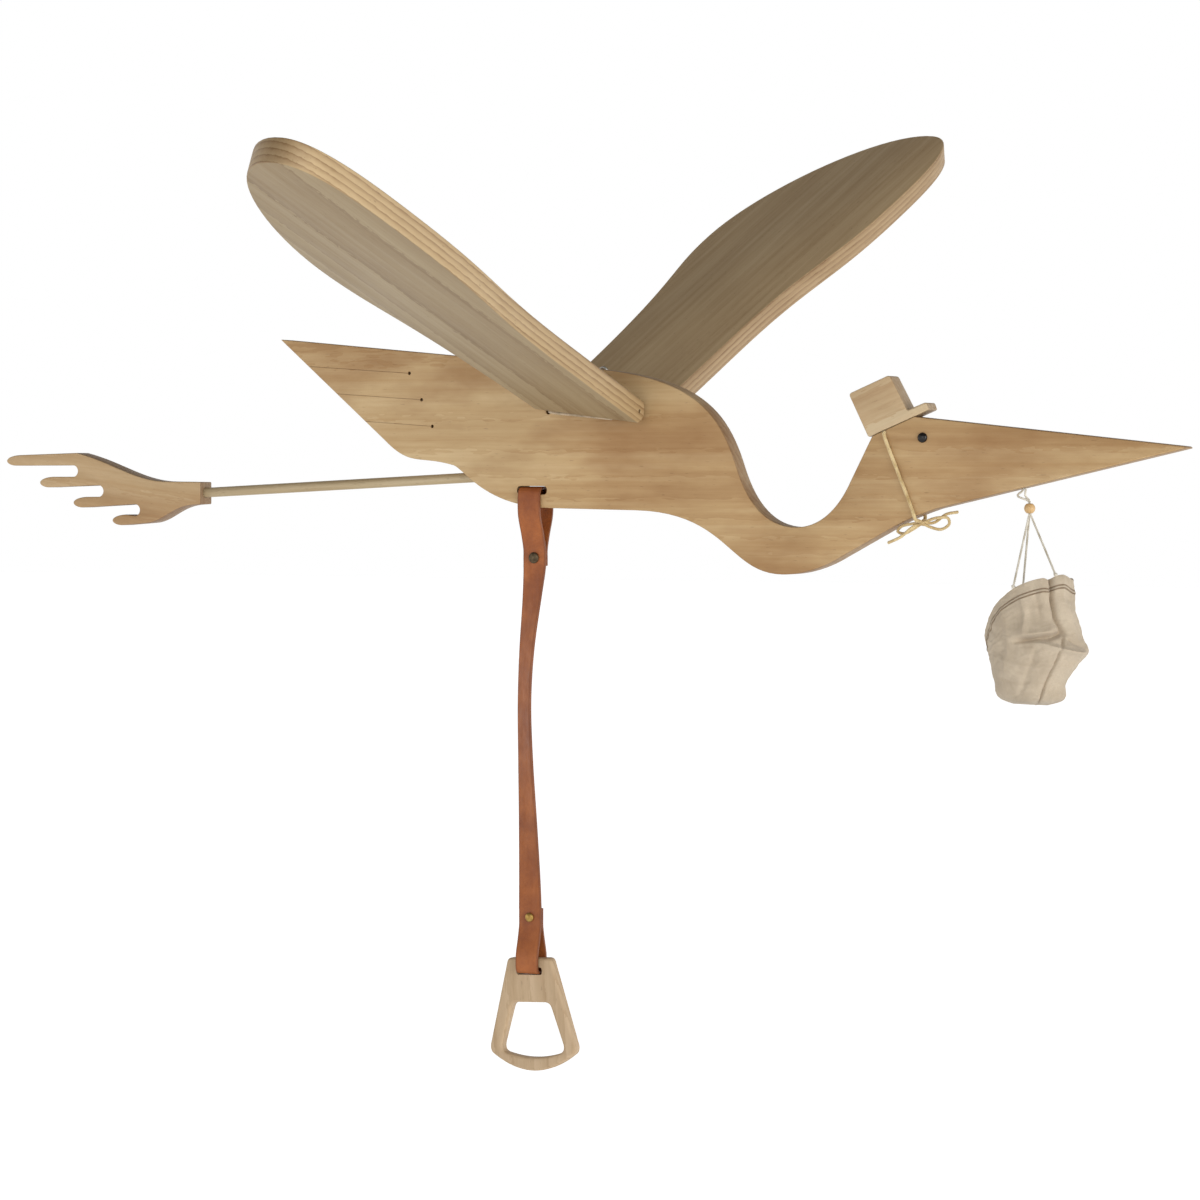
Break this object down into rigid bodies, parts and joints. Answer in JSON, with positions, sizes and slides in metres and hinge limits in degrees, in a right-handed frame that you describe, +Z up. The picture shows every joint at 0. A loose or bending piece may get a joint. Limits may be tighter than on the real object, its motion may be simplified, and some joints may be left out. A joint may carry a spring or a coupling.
{
  "type": "hanging mobile sculpture",
  "caption": "Flapping wooden stork mobile: hinged board wings, dowel leg and foot, hat, cloth bundle on the beak, leather pull strap and wooden pull handle.",
  "frame": {"origin": "midway between the two screw eyes on the wings, from which the hanging lines lead up", "axes": "+Z up, +X towards the beak, +Y towards the bird's left wing tip"},
  "size_m": [1.0409, 1.1109, 0.7764],
  "materials": {
    "body": "sawn pine board, sanded, oiled, darker in its sawn edges",
    "wing": "sawn pine board, sanded, oiled, with growth rings along its length",
    "leg": "beech or birch dowel, sanded",
    "hat": "sawn pine, sanded, oiled",
    "handle": "paler pine, sanded, softly rounded edges",
    "eye": "glossy black",
    "steel": "zinc plated wire",
    "hinge_cord": "whitish twisted cord",
    "hat_cord": "pale yellow twisted cotton cord",
    "bag_cord": "off-white twisted cord",
    "bag": "natural cotton cloth, stitched",
    "bead": "small turned bead, amber coloured, varnished",
    "strap": "reddish brown leather, cut edges",
    "rivet_dark": "dark bronze double-cap rivet",
    "rivet_brass": "brass double-cap rivet"
  },
  "bodies": {
    "body": {"body": "body", "hinge_cord": "hinge_cord", "leg": "leg", "foot": "body", "hat": "hat", "hat_cord": "hat_cord", "eye_right": "eye", "eye_left": "eye", "strap": "strap", "rivet_upper": "rivet_dark", "rivet_lower": "rivet_brass", "handle": "handle", "bag_cord": "bag_cord", "bead": "bead", "bag": "bag"},
    "wing_right": {"wing_right": "wing", "screw_eye_right": "steel"},
    "wing_left": {"wing_left": "wing", "screw_eye_left": "steel"}
  },
  "joints": [
    {"name": "wing_right_hinge", "type": "hinge", "parent": "body", "child": "wing_right", "pos_m": [0.01892, -0.0224, -0.02578], "axis": [-0.9921, 0, 0.1253], "range_deg": [-26, 33], "stiffness_Nm_per_rad": 8, "springref_deg": 11.46},
    {"name": "wing_left_hinge", "type": "hinge", "parent": "body", "child": "wing_left", "pos_m": [0.01892, 0.0224, -0.02578], "axis": [0.9921, 0, -0.1253], "range_deg": [-35, 24], "stiffness_Nm_per_rad": 8, "springref_deg": 10.89}
  ]
}
